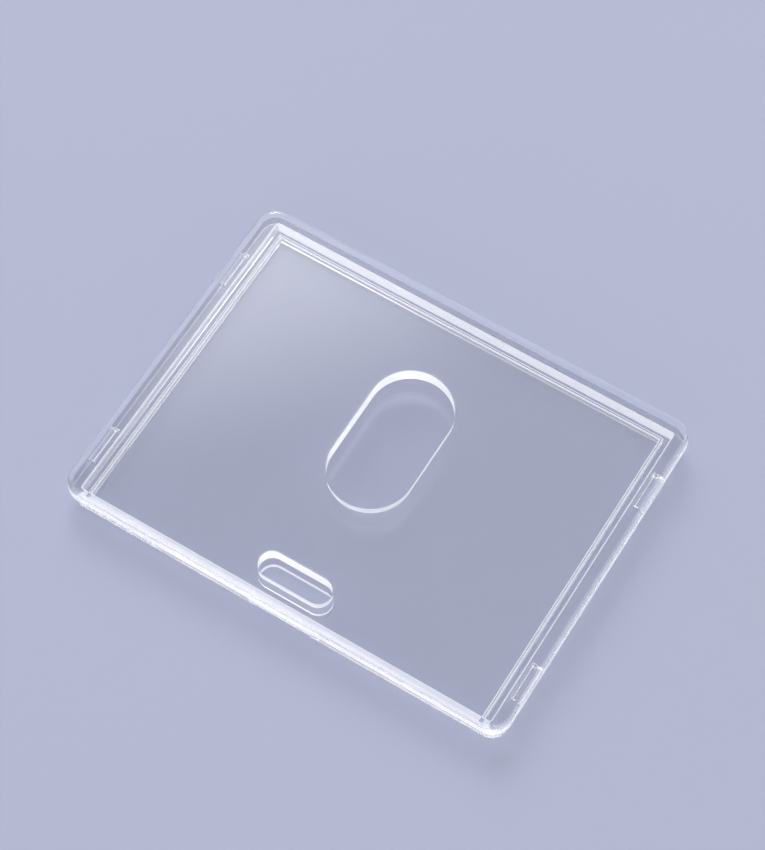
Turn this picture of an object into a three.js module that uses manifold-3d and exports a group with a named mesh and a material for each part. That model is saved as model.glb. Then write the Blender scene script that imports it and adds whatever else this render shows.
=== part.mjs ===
// Clear rigid card holder for one landscape card: a shallow rear tray closed by a thick front cover.
// Millimetres, +Z up. The holder lies on its rear face, which is at Z = 0, and the cover faces +Z.
// X runs along the long side. The lanyard slot is on the -Y side, and the origin is under the middle.
import * as THREE from "three";
import { mergeVertices } from "three/addons/utils/BufferGeometryUtils.js";
import Module from "manifold-3d";

const wasm = await Module();
wasm.setup();

// Whole holder
const THICKNESS = 7;
const PARTING_HEIGHT = 3.8; // top of the tray wall, where the cover sits on it
const PARTING_GAP = 0.1;
const REAR_PANEL = 1.2; // the tray's floor

// Cover: a flat plate that stands a little proud of the tray all round, as a ledge for a fingernail
const COVER_LENGTH = 92.6;
const COVER_WIDTH = 70.4;
const COVER_CORNER = 3.8;
const COVER_FRONT_ROUND = 1.1; // round along the front edge
const COVER_REAR_ROUND = 0.3; // round along the edge that faces the table

// Tray: outer wall, and the cavity that it stands around
const TRAY_LENGTH = 91;
const TRAY_WIDTH = 68.6;
const TRAY_CORNER = 3;
const TRAY_ROUND = 0.2;
const CAVITY_LENGTH = 86;
const CAVITY_WIDTH = 65.8;
const CAVITY_CORNER = 0.2;

// Card rail: a thin bead on the tray's floor that carries the card's edge along three sides
const RAIL_INSET = 1.2; // from the cavity wall to the rail's outer face
const RAIL_WALL = 0.7;
const RAIL_TOP = 2.84;

// Lanyard slot, through both shells
const SLOT_LENGTH = 14.8;
const SLOT_WIDTH = 5.1;
const SLOT_Y = -28.4;

// Thumb hole, through the cover only, long axis along Y
const THUMB_LENGTH = 30.2;
const THUMB_WIDTH = 16.2;
const THUMB_Y = 4;

// Snap tabs under the cover's two short sides, each in a pocket in the tray's end wall
const TAB_CENTRES_Y = [-23.5, 20.2];
const TAB_LENGTH = 7.6;
const TAB_INNER_X = 43.9;
const TAB_OUTER_X = 44.7;
const TAB_BOTTOM = 1.6;
const POCKET_CLEARANCE = 0.15;
const WINDOW_BOTTOM = 1.9; // the window through the end wall, behind the tab
const WINDOW_TOP = 3;

// Mesh fineness
const CORNER_SEGMENTS = 8;
const HOLE_SEGMENTS = 24;
const ROUND_SEGMENTS = 5;
const OVERCUT = 2; // how far a cutter runs past the face that it cuts

// A closed three.js geometry as a manifold-3d solid, for cutting and joining.
function solid(geometry) {
  const bare = geometry.clone();
  bare.deleteAttribute("normal");
  bare.deleteAttribute("uv");
  const merged = mergeVertices(bare, 1e-4);
  const vertProperties = new Float32Array(merged.attributes.position.array);
  const triVerts = new Uint32Array(merged.index.array);
  return new wasm.Manifold(new wasm.Mesh({ numProp: 3, vertProperties, triVerts }));
}

// A manifold-3d solid as a named three.js mesh.
function namedMesh(name, shape, material) {
  const { vertProperties, triVerts } = shape.getMesh();
  const geometry = new THREE.BufferGeometry();
  geometry.setAttribute("position", new THREE.BufferAttribute(vertProperties, 3));
  geometry.setIndex(new THREE.BufferAttribute(triVerts, 1));
  geometry.computeVertexNormals();
  const mesh = new THREE.Mesh(geometry, material);
  mesh.name = name;
  return mesh;
}

function roundedRectangle(length, width, radius) {
  const x = length / 2 - radius;
  const y = width / 2 - radius;
  const shape = new THREE.Shape();
  shape.absarc(x, y, radius, 0, Math.PI / 2);
  shape.absarc(-x, y, radius, Math.PI / 2, Math.PI);
  shape.absarc(-x, -y, radius, Math.PI, 1.5 * Math.PI);
  shape.absarc(x, -y, radius, 1.5 * Math.PI, 2 * Math.PI);
  return shape;
}

// A stadium: a straight slot with a half circle at each end of its long axis.
function stadium(length, width) {
  const radius = width / 2;
  const reach = length / 2 - radius;
  const shape = new THREE.Shape();
  shape.absarc(reach, 0, radius, -Math.PI / 2, Math.PI / 2);
  shape.absarc(-reach, 0, radius, Math.PI / 2, 1.5 * Math.PI);
  return shape;
}

function prism(shape, bottom, top, segments = CORNER_SEGMENTS) {
  const depth = top - bottom;
  const geometry = new THREE.ExtrudeGeometry(shape, { depth, bevelEnabled: false, curveSegments: segments });
  return geometry.translate(0, 0, bottom);
}

function block(x0, x1, y0, y1, z0, z1) {
  const geometry = new THREE.BoxGeometry(x1 - x0, y1 - y0, z1 - z0);
  return solid(geometry.translate((x0 + x1) / 2, (y0 + y1) / 2, (z0 + z1) / 2));
}

// A rounded-rectangle plate whose top and bottom edges are both rounded.
function softPlate(length, width, corner, round, bottom, top) {
  const geometry = new THREE.ExtrudeGeometry(roundedRectangle(length, width, corner), {
    depth: top - bottom - 2 * round,
    bevelEnabled: true,
    bevelThickness: round,
    bevelSize: round,
    bevelOffset: -round,
    bevelSegments: ROUND_SEGMENTS,
    curveSegments: CORNER_SEGMENTS,
  });
  return solid(geometry.translate(0, 0, bottom + round));
}

function slotCutter() {
  const geometry = prism(stadium(SLOT_LENGTH, SLOT_WIDTH), -OVERCUT, THICKNESS + OVERCUT, HOLE_SEGMENTS);
  return solid(geometry.translate(0, SLOT_Y, 0));
}

function thumbCutter() {
  const geometry = prism(stadium(THUMB_LENGTH, THUMB_WIDTH), 0, THICKNESS + OVERCUT, HOLE_SEGMENTS);
  return solid(geometry.rotateZ(Math.PI / 2).translate(0, THUMB_Y, 0));
}

// The four snap stations: which short side, and where along it.
const STATIONS = [];
for (const side of [-1, 1]) {
  for (const y of TAB_CENTRES_Y) {
    STATIONS.push({ side, y });
  }
}

// A block at one snap station, from inner to outer distance along X.
function stationBlock({ side, y }, inner, outer, length, z0, z1) {
  const x0 = Math.min(side * inner, side * outer);
  const x1 = Math.max(side * inner, side * outer);
  return block(x0, x1, y - length / 2, y + length / 2, z0, z1);
}

function frontCover() {
  const underside = PARTING_HEIGHT + PARTING_GAP;
  const front = softPlate(COVER_LENGTH, COVER_WIDTH, COVER_CORNER, COVER_FRONT_ROUND, -OVERCUT, THICKNESS);
  const rear = softPlate(COVER_LENGTH, COVER_WIDTH, COVER_CORNER, COVER_REAR_ROUND, underside,
    THICKNESS + OVERCUT);
  let cover = front.intersect(rear);
  for (const station of STATIONS) {
    cover = cover.add(stationBlock(station, TAB_INNER_X, TAB_OUTER_X, TAB_LENGTH, TAB_BOTTOM,
      THICKNESS - COVER_FRONT_ROUND));
  }
  return cover.subtract(slotCutter()).subtract(thumbCutter());
}

function cardRail() {
  const outerLength = CAVITY_LENGTH - 2 * RAIL_INSET;
  const outerWidth = CAVITY_WIDTH - 2 * RAIL_INSET;
  const x = outerLength / 2;
  const y = outerWidth / 2;
  const foot = REAR_PANEL / 2;
  const armEnd = -(CAVITY_WIDTH + RAIL_WALL) / 2; // inside the wall on the slot side
  const ring = block(-x, x, armEnd, y, foot, RAIL_TOP);
  const inside = block(RAIL_WALL - x, x - RAIL_WALL, armEnd - OVERCUT, y - RAIL_WALL,
    0, RAIL_TOP + OVERCUT);
  return ring.subtract(inside);
}

function rearTray() {
  const outer = softPlate(TRAY_LENGTH, TRAY_WIDTH, TRAY_CORNER, TRAY_ROUND, 0, PARTING_HEIGHT + OVERCUT);
  const below = block(-COVER_LENGTH, COVER_LENGTH, -COVER_WIDTH, COVER_WIDTH, -OVERCUT, PARTING_HEIGHT);
  const cavity = solid(prism(roundedRectangle(CAVITY_LENGTH, CAVITY_WIDTH, CAVITY_CORNER),
    REAR_PANEL, PARTING_HEIGHT + OVERCUT));
  let tray = outer.intersect(below).subtract(cavity).add(cardRail());
  const pocketLength = TAB_LENGTH + 2 * POCKET_CLEARANCE;
  for (const station of STATIONS) {
    tray = tray
      .subtract(stationBlock(station, TAB_INNER_X - POCKET_CLEARANCE, TAB_OUTER_X + POCKET_CLEARANCE,
        pocketLength, TAB_BOTTOM - POCKET_CLEARANCE, PARTING_HEIGHT + OVERCUT))
      .subtract(stationBlock(station, TAB_OUTER_X, TRAY_LENGTH / 2 + OVERCUT, pocketLength,
        WINDOW_BOTTOM, WINDOW_TOP));
  }
  return tray.subtract(slotCutter());
}

const clearCover = new THREE.MeshStandardMaterial({ color: 0xe9ebf5, roughness: 0.05, metalness: 0 });
const clearTray = new THREE.MeshStandardMaterial({ color: 0xdfe2ee, roughness: 0.05, metalness: 0 });

const cardHolder = new THREE.Group();
cardHolder.add(namedMesh("rear_tray", rearTray(), clearTray));
cardHolder.add(namedMesh("front_cover", frontCover(), clearCover));

export default cardHolder;
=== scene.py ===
"""Looks of a clear rigid card holder: a shallow rear tray closed by a thick front cover, both in
water-clear moulded plastic. Metres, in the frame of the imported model."""

import math

import bmesh
import bpy
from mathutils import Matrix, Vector


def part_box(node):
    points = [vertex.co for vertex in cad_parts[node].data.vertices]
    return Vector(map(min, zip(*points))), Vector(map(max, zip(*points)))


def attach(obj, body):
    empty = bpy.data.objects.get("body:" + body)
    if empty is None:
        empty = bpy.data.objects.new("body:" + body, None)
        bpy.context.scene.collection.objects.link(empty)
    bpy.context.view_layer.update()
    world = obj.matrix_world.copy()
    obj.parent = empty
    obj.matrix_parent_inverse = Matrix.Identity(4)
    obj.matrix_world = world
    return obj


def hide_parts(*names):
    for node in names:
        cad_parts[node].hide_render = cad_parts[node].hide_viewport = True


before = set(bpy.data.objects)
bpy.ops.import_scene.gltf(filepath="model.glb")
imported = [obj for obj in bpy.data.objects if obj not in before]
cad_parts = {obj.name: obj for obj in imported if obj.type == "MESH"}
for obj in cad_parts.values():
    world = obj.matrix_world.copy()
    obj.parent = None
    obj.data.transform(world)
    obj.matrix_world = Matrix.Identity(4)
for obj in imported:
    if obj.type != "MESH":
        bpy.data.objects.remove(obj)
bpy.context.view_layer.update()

MM = 0.001

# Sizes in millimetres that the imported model's boxes don't give
PARTING = 3.8  # top of the tray's wall
UNDERSIDE = 3.9  # the cover's rear face
FLOOR = 1.2  # top of the tray's floor panel
COVER_CORNER = 3.8
COVER_FRONT_ROUND = 1.1
COVER_REAR_ROUND = 0.3
TRAY_CORNER = 3.0
TRAY_ROUND = 0.08
CAVITY = (86.0, 65.8)
CAVITY_CORNER = 0.35
RAIL_INSET = 1.2
RAIL_WALL = 0.7
RAIL_TOP = 2.84
SLOT = (14.8, 5.1)
SLOT_Y = -28.4
THUMB = (30.2, 16.2)
THUMB_Y = 4.0
TAB_CENTRES_Y = (-23.5, 20.2)
TAB_LENGTH = 7.6
TAB_INNER_X = 43.9
TAB_OUTER_X = 44.7
TAB_BOTTOM = 1.6
TAB_CORNER = 0.15
TAB_TIP = (0.12, 0.15)  # how far the slope at a tab's tip goes in, and its height
TAB_ROOT = 0.6  # how far a tab reaches into the cover
POCKET_CLEARANCE = 0.15
POCKET_CORNER = 0.1
WINDOW = (1.9, 3.0)

HOLE_ROUND = 0.25  # along the outer rims of the slot and the thumb hole
REAR_RIM_ROUND = 0.12  # along their inner rims
SMALL_ROUND = 0.25  # along the card rail and the mouth of the cavity
SMALLEST_CORNER = 0.03  # the least radius that a shrunk outline keeps
MOUTH_MARGIN = 0.05  # beyond the cavity's outline, when its edges are picked for rounding
OVERCUT = 2.0  # how far a cutter passes the face that it opens
RIM_LEAD_OUT = 0.2  # length of a rim's last slope, as a part of its radius
UPRIGHT = 0.01  # a wall that leans less than this from level to level is upright
SAME_POINT = 0.002  # points closer than this are one

CORNER_STEPS = 24
HOLE_STEPS = 48
ROUND_STEPS = 7
SMALL_ROUND_STEPS = 3

RIM_TURN = math.radians(78)  # how far a hole's rim turns before its last slope
FLAT_ANGLE = math.radians(0.3)  # faces that meet within this are one flat face
ROUNDED_ANGLE = math.radians(50)  # edges sharper than this get the small round
SHADE_ANGLE = math.radians(40)  # edges sharper than this stay crisp when shaded

# The plastic: tints to drift between, and least and most roughness
PLASTIC_IOR = 1.49
COVER_TINT = ((0.976, 0.979, 0.993), (0.986, 0.988, 0.998))
TRAY_TINT = ((0.988, 0.990, 1.0), (0.997, 0.998, 1.0))
# Colours of the moulded edges, which also colour their painted glow
EDGE_TINT_AND_GLOW = ((0.965, 0.970, 0.990), (0.985, 0.990, 1.0))
POLISHED = (0.0, 0.02)
SATIN = (0.30, 0.36)
FACE_RIPPLE = 0.000002
EDGE_RIPPLE = 0.000003

TABLE_TINT = ((0.452, 0.484, 0.632), (0.471, 0.489, 0.652))
TABLE_REACH = 1.6
TABLE_DROP = 0.05 * MM  # keeps the table just clear of the tray's rear face

# An even sky with two soft boxes, one high on the far left and one low on the near side. SKY is
# its strength at each height. Each box is its direction, the cosines at which it starts and is
# full, and its strength.
SKY_HORIZON = (1.2, 1.2, 1.2)
SKY = ((0.12, 1.1), (0.30, 1.0), (0.50, 0.95), (0.84, 0.54))
SKY_ZENITH = (0.57, 0.57, 0.58)
SOFT_BOXES = (
    ((-0.50, 0.57, 0.65), (0.922, 0.952), 1.5),
    ((0.10, -0.92, 0.38), (0.80, 0.95), 0.4),
)
KEY_PLACE = (-0.42, 0.55, 0.70)
KEY_SIZE = 0.55
KEY_WATTS = 1.4

# The camera, above the near right, looking down at the middle of the holder
CAMERA_TURN = math.radians(31.65)
CAMERA_RAISE = math.radians(62.51)
CAMERA_TARGET = (-3.305, 6.503, 5.0)
CAMERA_DISTANCE = 496.56
SENSOR_HEIGHT = 24.0
LENS = 76.48
NEAR_CLIP = 0.01

BOUNCES = 128

# The EDGE materials also emit a faint painted glow of their own
FACE, EDGE = 0, 1  # material places: the polished faces, and the plainer moulded edges


def size_mm(node):
    """Length and width of the node's box, and the height of its top."""
    low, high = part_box(node)
    return (high.x - low.x) / MM, (high.y - low.y) / MM, high.z / MM


# Materials


def clear_plastic(name, tint, roughness, haze, ripple, glow=0.0):
    """Clear plastic. tint is a pair of colours that it drifts between, roughness its least and
    most, haze how much light it scatters, ripple the height of the faint waves in its surface, and
    glow the strength of a painted glow: the surface emits light in its tint, standing in for light
    that travels along inside the sheet and leaves at this edge."""
    material = bpy.data.materials.new(name)
    material.use_nodes = True
    nodes, links = material.node_tree.nodes, material.node_tree.links
    surface = nodes["Principled BSDF"]
    surface.inputs["IOR"].default_value = PLASTIC_IOR
    surface.inputs["Transmission Weight"].default_value = 1.0 - haze
    place = nodes.new("ShaderNodeTexCoord")

    drift = nodes.new("ShaderNodeTexNoise")
    drift.inputs["Scale"].default_value = 45.0
    drift.inputs["Detail"].default_value = 2.0
    links.new(place.outputs["Object"], drift.inputs["Vector"])
    shade = nodes.new("ShaderNodeMix")
    shade.data_type = "RGBA"
    shade.inputs["A"].default_value = (*tint[0], 1.0)
    shade.inputs["B"].default_value = (*tint[1], 1.0)
    links.new(drift.outputs["Fac"], shade.inputs["Factor"])
    links.new(shade.outputs["Result"], surface.inputs["Base Color"])
    # Painted glow: the surface emits its own tint, at strength glow
    links.new(shade.outputs["Result"], surface.inputs["Emission Color"])
    surface.inputs["Emission Strength"].default_value = glow

    polish = nodes.new("ShaderNodeTexNoise")
    polish.inputs["Scale"].default_value = 260.0
    polish.inputs["Detail"].default_value = 4.0
    links.new(place.outputs["Object"], polish.inputs["Vector"])
    spread = nodes.new("ShaderNodeMapRange")
    spread.inputs["From Min"].default_value = 0.35
    spread.inputs["From Max"].default_value = 0.65
    spread.inputs["To Min"].default_value = roughness[0]
    spread.inputs["To Max"].default_value = roughness[1]
    links.new(polish.outputs["Fac"], spread.inputs["Value"])
    links.new(spread.outputs["Result"], surface.inputs["Roughness"])

    wave = nodes.new("ShaderNodeTexNoise")
    wave.inputs["Scale"].default_value = 90.0
    wave.inputs["Detail"].default_value = 1.0
    links.new(place.outputs["Object"], wave.inputs["Vector"])
    bump = nodes.new("ShaderNodeBump")
    bump.inputs["Strength"].default_value = 1.0
    bump.inputs["Distance"].default_value = ripple
    links.new(wave.outputs["Fac"], bump.inputs["Height"])
    links.new(bump.outputs["Normal"], surface.inputs["Normal"])
    return material


def table_top():
    material = bpy.data.materials.new("table_top")
    material.use_nodes = True
    nodes, links = material.node_tree.nodes, material.node_tree.links
    surface = nodes["Principled BSDF"]
    surface.inputs["Roughness"].default_value = 0.65
    surface.inputs["Specular IOR Level"].default_value = 0.2
    place = nodes.new("ShaderNodeTexCoord")
    cloud = nodes.new("ShaderNodeTexNoise")
    cloud.inputs["Scale"].default_value = 6.0
    cloud.inputs["Detail"].default_value = 1.0
    links.new(place.outputs["Object"], cloud.inputs["Vector"])
    shade = nodes.new("ShaderNodeMix")
    shade.data_type = "RGBA"
    shade.inputs["A"].default_value = (*TABLE_TINT[0], 1.0)
    shade.inputs["B"].default_value = (*TABLE_TINT[1], 1.0)
    links.new(cloud.outputs["Fac"], shade.inputs["Factor"])
    links.new(shade.outputs["Result"], surface.inputs["Base Color"])
    return material


# Outlines, as lists of (x, y) anticlockwise, each moved outwards by grow


def rounded_rectangle(length, width, radius, grow=0.0):
    r = max(radius + grow, SMALLEST_CORNER)
    x = length / 2 + grow - r
    y = width / 2 + grow - r
    points = []
    for cx, cy, start in ((x, y, 0), (-x, y, 90), (-x, -y, 180), (x, -y, 270)):
        for i in range(CORNER_STEPS + 1):
            a = math.radians(start + 90 * i / CORNER_STEPS)
            points.append((cx + r * math.cos(a), cy + r * math.sin(a)))
    return points


def stadium(length, width, grow=0.0):
    r = width / 2 + grow
    reach = (length - width) / 2
    points = []
    for cx, start in ((reach, -90), (-reach, 90)):
        for i in range(HOLE_STEPS + 1):
            a = math.radians(start + 180 * i / HOLE_STEPS)
            points.append((cx + r * math.cos(a), r * math.sin(a)))
    return points


def rail_outline(grow=0.0):
    """The U of the card rail. Its arms run into the wall on the slot side."""
    x = CAVITY[0] / 2 - RAIL_INSET
    y = CAVITY[1] / 2 - RAIL_INSET
    end = -(CAVITY[1] + RAIL_WALL) / 2
    out_x, out_y = x + grow, y + grow
    in_x, in_y = x - RAIL_WALL - grow, y - RAIL_WALL - grow
    return [(out_x, end), (out_x, out_y), (-out_x, out_y), (-out_x, end),
            (-in_x, end), (-in_x, in_y), (in_x, in_y), (in_x, end)]


# Solids


def round_over(radius, z, up=True):
    """Levels of a rounded edge that ends in a flat face at height z, from the side to the face."""
    side = 1 if up else -1
    levels = []
    for i in range(ROUND_STEPS + 1):
        a = math.pi / 2 * i / ROUND_STEPS
        levels.append((-radius * (1 - math.cos(a)), z - side * radius * (1 - math.sin(a))))
    return levels if up else levels[::-1]


def flare(radius, z, up=True):
    """Levels of a cutter that leaves a rounded rim where it meets a flat face at height z."""
    side = 1 if up else -1
    levels = []
    for i in range(ROUND_STEPS):
        a = RIM_TURN * i / (ROUND_STEPS - 1)
        levels.append((radius * (1 - math.cos(a)), z - side * radius * (1 - math.sin(a))))
    levels.append((levels[-1][0] + radius * math.tan(RIM_TURN) * RIM_LEAD_OUT,
                   levels[-1][1] + side * radius * RIM_LEAD_OUT))
    levels.append((levels[-1][0], z + side * OVERCUT))
    return levels if up else levels[::-1]


def stack(name, outline, levels, centre=(0.0, 0.0), turned=False, walls=(EDGE, EDGE)):
    """A closed solid through levels, each (grow, z), from the bottom up. Its upright walls take
    the first material of walls where they face along Y, and the second where they face along X."""
    mesh = bpy.data.meshes.new(name)
    bm = bmesh.new()
    rings = []
    for grow, z in levels:
        points = outline(grow)
        if turned:
            points = [(-y, x) for x, y in points]
        rings.append([bm.verts.new(((x + centre[0]) * MM, (y + centre[1]) * MM, z * MM))
                      for x, y in points])
    for step in range(len(levels) - 1):
        low, high = rings[step], rings[step + 1]
        upright = abs(levels[step + 1][0] - levels[step][0]) < UPRIGHT
        for i in range(len(low)):
            j = (i + 1) % len(low)
            side = bm.faces.new((low[i], low[j], high[j], high[i]))
            along = low[j].co - low[i].co
            finish = walls[0] if abs(along.x) > abs(along.y) else walls[1]
            side.material_index = finish if upright else FACE
    bm.faces.new(rings[0][::-1]).material_index = FACE
    bm.faces.new(rings[-1]).material_index = FACE
    bmesh.ops.recalc_face_normals(bm, faces=bm.faces)
    bm.to_mesh(mesh)
    bm.free()
    for _ in (FACE, EDGE):
        mesh.materials.append(None)
    solid = bpy.data.objects.new(name, mesh)
    bpy.context.scene.collection.objects.link(solid)
    return solid


def settle(solid):
    """Turns the solid's modifiers into its mesh."""
    bpy.context.view_layer.update()
    graph = bpy.context.evaluated_depsgraph_get()
    mesh = bpy.data.meshes.new_from_object(solid.evaluated_get(graph))
    solid.modifiers.clear()
    old = solid.data
    solid.data = mesh
    bpy.data.meshes.remove(old)
    mesh.name = solid.name


def combine(solid, other, operation):
    step = solid.modifiers.new("combine", "BOOLEAN")
    step.operation = operation
    step.solver = "EXACT"
    step.object = other
    settle(solid)
    bpy.data.objects.remove(other)


def merge_flats(solid):
    """Removes doubled points, and lines inside flat faces."""
    bm = bmesh.new()
    bm.from_mesh(solid.data)
    bmesh.ops.remove_doubles(bm, verts=bm.verts, dist=SAME_POINT * MM)
    bmesh.ops.dissolve_limit(bm, angle_limit=FLAT_ANGLE, verts=bm.verts, edges=bm.edges,
                             delimit={"MATERIAL"})
    bm.to_mesh(solid.data)
    bm.free()


def round_inner_edges(solid, half_length, half_width):
    """Puts a small round on the sharp outside edges within a rectangle about the middle."""
    bm = bmesh.new()
    bm.from_mesh(solid.data)
    weight = bm.edges.layers.float.new("bevel_weight_edge")
    for edge in bm.edges:
        inside = all(abs(v.co.x) < half_length * MM and abs(v.co.y) < half_width * MM
                     for v in edge.verts)
        if inside and edge.is_convex and edge.calc_face_angle(0.0) > ROUNDED_ANGLE:
            edge[weight] = 1.0
    bm.to_mesh(solid.data)
    bm.free()
    small = solid.modifiers.new("small_round", "BEVEL")
    small.width = SMALL_ROUND * MM
    small.segments = SMALL_ROUND_STEPS
    small.limit_method = "WEIGHT"
    small.material = EDGE
    settle(solid)


def smooth(solid):
    """Shades rounds smoothly and keeps flat faces flat."""
    for face in solid.data.polygons:
        face.use_smooth = True
    solid.data.set_sharp_from_angle(angle=SHADE_ANGLE)
    even = solid.modifiers.new("even_shading", "WEIGHTED_NORMAL")
    even.mode = "FACE_AREA"
    even.weight = 50
    even.keep_sharp = True
    settle(solid)


def stations():
    """The side and the middle along Y of each of the four snap tabs."""
    return [(side, y) for side in (-1, 1) for y in TAB_CENTRES_Y]


def front_cover_shell():
    length, width, top = size_mm("front_cover")
    cover = stack("front_cover_shell",
                  lambda grow: rounded_rectangle(length, width, COVER_CORNER, grow),
                  round_over(COVER_REAR_ROUND, UNDERSIDE, up=False)
                  + round_over(COVER_FRONT_ROUND, top))
    rims = flare(REAR_RIM_ROUND, UNDERSIDE, up=False) + flare(HOLE_ROUND, top)
    thumb = stack("thumb_cutter", lambda grow: stadium(*THUMB, grow), rims,
                  centre=(0.0, THUMB_Y), turned=True)
    combine(cover, thumb, "DIFFERENCE")
    slot = stack("slot_cutter", lambda grow: stadium(*SLOT, grow), rims, centre=(0.0, SLOT_Y))
    combine(cover, slot, "DIFFERENCE")
    thickness = TAB_OUTER_X - TAB_INNER_X
    for side, y in stations():
        tab = stack("tab",
                    lambda grow: rounded_rectangle(thickness, TAB_LENGTH, TAB_CORNER, grow),
                    [(-TAB_TIP[0], TAB_BOTTOM), (0.0, TAB_BOTTOM + TAB_TIP[1]),
                     (0.0, UNDERSIDE + TAB_ROOT)],
                    centre=(side * (TAB_INNER_X + TAB_OUTER_X) / 2, y), walls=(FACE, FACE))
        combine(cover, tab, "UNION")
    merge_flats(cover)
    smooth(cover)
    return cover


def rear_tray_shell():
    length, width, _ = size_mm("rear_tray")
    tray = stack("rear_tray_shell",
                 lambda grow: rounded_rectangle(length, width, TRAY_CORNER, grow),
                 round_over(TRAY_ROUND, 0.0, up=False) + [(0.0, PARTING)],
                 walls=(FACE, FACE))
    cavity = stack("cavity_cutter",
                   lambda grow: rounded_rectangle(*CAVITY, CAVITY_CORNER, grow),
                   [(0.0, FLOOR), (0.0, PARTING + OVERCUT)],
                   walls=(EDGE, FACE))
    combine(tray, cavity, "DIFFERENCE")
    rail = stack("rail", rail_outline, [(0.0, FLOOR / 2), (0.0, RAIL_TOP)], walls=(FACE, FACE))
    combine(tray, rail, "UNION")
    merge_flats(tray)
    round_inner_edges(tray, CAVITY[0] / 2 + MOUTH_MARGIN, CAVITY[1] / 2 + MOUTH_MARGIN)
    long = TAB_LENGTH + 2 * POCKET_CLEARANCE
    inner, outer = TAB_INNER_X - POCKET_CLEARANCE, TAB_OUTER_X + POCKET_CLEARANCE
    beyond = length / 2 + OVERCUT
    through = beyond - TAB_OUTER_X
    for side, y in stations():
        pocket = stack("pocket",
                       lambda grow: rounded_rectangle(outer - inner, long, POCKET_CORNER, grow),
                       [(0.0, TAB_BOTTOM - POCKET_CLEARANCE), (0.0, PARTING + OVERCUT)],
                       centre=(side * (inner + outer) / 2, y), walls=(FACE, FACE))
        combine(tray, pocket, "DIFFERENCE")
        window = stack("window",
                       lambda grow: rounded_rectangle(through, long, POCKET_CORNER, grow),
                       [(0.0, WINDOW[0]), (0.0, WINDOW[1])],
                       centre=(side * (TAB_OUTER_X + beyond) / 2, y), walls=(FACE, FACE))
        combine(tray, window, "DIFFERENCE")
    slot = stack("slot_cutter", lambda grow: stadium(*SLOT, grow),
                 flare(HOLE_ROUND, 0.0, up=False) + flare(REAR_RIM_ROUND, FLOOR),
                 centre=(0.0, SLOT_Y))
    combine(tray, slot, "DIFFERENCE")
    merge_flats(tray)
    smooth(tray)
    return tray


cover = front_cover_shell()
tray = rear_tray_shell()

cover.data.materials[FACE] = clear_plastic(
    "cover_face", COVER_TINT, POLISHED, haze=0.0, ripple=FACE_RIPPLE)
# The edge materials emit a faint painted glow, which lightens the moulded edges from every side
cover.data.materials[EDGE] = clear_plastic(
    "cover_edge", EDGE_TINT_AND_GLOW, SATIN, haze=0.45, ripple=EDGE_RIPPLE, glow=0.12)
tray.data.materials[FACE] = clear_plastic(
    "tray_face", TRAY_TINT, POLISHED, haze=0.0, ripple=FACE_RIPPLE)
tray.data.materials[EDGE] = clear_plastic(
    "tray_edge", EDGE_TINT_AND_GLOW, SATIN, haze=0.65, ripple=EDGE_RIPPLE, glow=0.15)

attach(cover, "cover")
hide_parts("front_cover")
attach(tray, "tray")
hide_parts("rear_tray")

# Table
mesh = bpy.data.meshes.new("table")
bm = bmesh.new()
bmesh.ops.create_grid(bm, x_segments=8, y_segments=8, size=TABLE_REACH)
bm.to_mesh(mesh)
bm.free()
table = bpy.data.objects.new("table", mesh)
table.location.z = -TABLE_DROP
bpy.context.scene.collection.objects.link(table)
table.data.materials.append(table_top())


# Light


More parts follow.
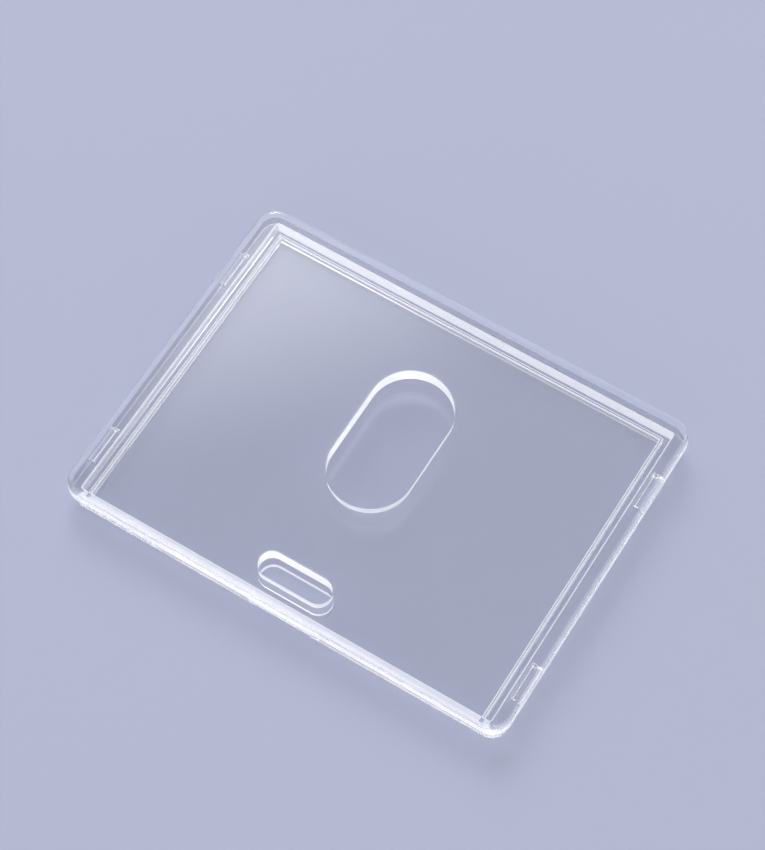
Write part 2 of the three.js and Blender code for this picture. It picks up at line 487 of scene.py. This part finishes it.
def soft_room():
    world = bpy.data.worlds.new("soft_room")
    bpy.context.scene.world = world
    world.use_nodes = True
    nodes, links = world.node_tree.nodes, world.node_tree.links
    sky = nodes["Background"]
    place = nodes.new("ShaderNodeTexCoord")
    split = nodes.new("ShaderNodeSeparateXYZ")
    links.new(place.outputs["Generated"], split.inputs["Vector"])
    height = nodes.new("ShaderNodeValToRGB")
    ramp = height.color_ramp
    ramp.elements[0].color = (*SKY_HORIZON, 1.0)
    ramp.elements[1].color = (*SKY_ZENITH, 1.0)
    for rise, level in SKY:
        ramp.elements.new(rise).color = (level, level, level, 1.0)
    links.new(split.outputs["Z"], height.inputs["Fac"])

    glow = height.outputs["Color"]
    for towards, reach, strength in SOFT_BOXES:
        aim = nodes.new("ShaderNodeVectorMath")
        aim.operation = "DOT_PRODUCT"
        aim.inputs[1].default_value = Vector(towards).normalized()
        links.new(place.outputs["Generated"], aim.inputs[0])
        soft = nodes.new("ShaderNodeMapRange")
        soft.interpolation_type = "SMOOTHSTEP"
        soft.inputs["From Min"].default_value = reach[0]
        soft.inputs["From Max"].default_value = reach[1]
        soft.inputs["To Min"].default_value = 0.0
        soft.inputs["To Max"].default_value = strength
        links.new(aim.outputs["Value"], soft.inputs["Value"])
        both = nodes.new("ShaderNodeVectorMath")
        both.operation = "ADD"
        links.new(glow, both.inputs[0])
        links.new(soft.outputs["Result"], both.inputs[1])
        glow = both.outputs["Vector"]
    links.new(glow, sky.inputs["Color"])


def soft_light(name, place, size, watts):
    light = bpy.data.lights.new(name, "AREA")
    light.shape = "SQUARE"
    light.size = size
    light.energy = watts
    lamp = bpy.data.objects.new(name, light)
    lamp.location = place
    lamp.rotation_euler = (-Vector(place)).to_track_quat("-Z", "Y").to_euler()
    lamp.visible_glossy = False
    lamp.visible_transmission = False
    bpy.context.scene.collection.objects.link(lamp)


soft_room()
soft_light("key", KEY_PLACE, KEY_SIZE, KEY_WATTS)

# Camera. back points from its target to the camera.
back = Vector((math.sin(CAMERA_TURN) * math.cos(CAMERA_RAISE),
               -math.cos(CAMERA_TURN) * math.cos(CAMERA_RAISE),
               math.sin(CAMERA_RAISE)))
camera = bpy.data.objects.new("camera", bpy.data.cameras.new("camera"))
camera.data.sensor_fit = "VERTICAL"
camera.data.sensor_height = SENSOR_HEIGHT
camera.data.lens = LENS
camera.data.clip_start = NEAR_CLIP
camera.location = Vector(CAMERA_TARGET) * MM + back * CAMERA_DISTANCE * MM
camera.rotation_euler = (-back).to_track_quat("-Z", "Y").to_euler()
bpy.context.scene.collection.objects.link(camera)
bpy.context.scene.camera = camera

# Light has to pass through many clear surfaces here, and to arrive unblurred
cycles = bpy.context.scene.cycles
cycles.max_bounces = BOUNCES
cycles.transmission_bounces = BOUNCES
cycles.glossy_bounces = BOUNCES
cycles.blur_glossy = 0.0
bpy.context.scene.view_settings.view_transform = "Standard"
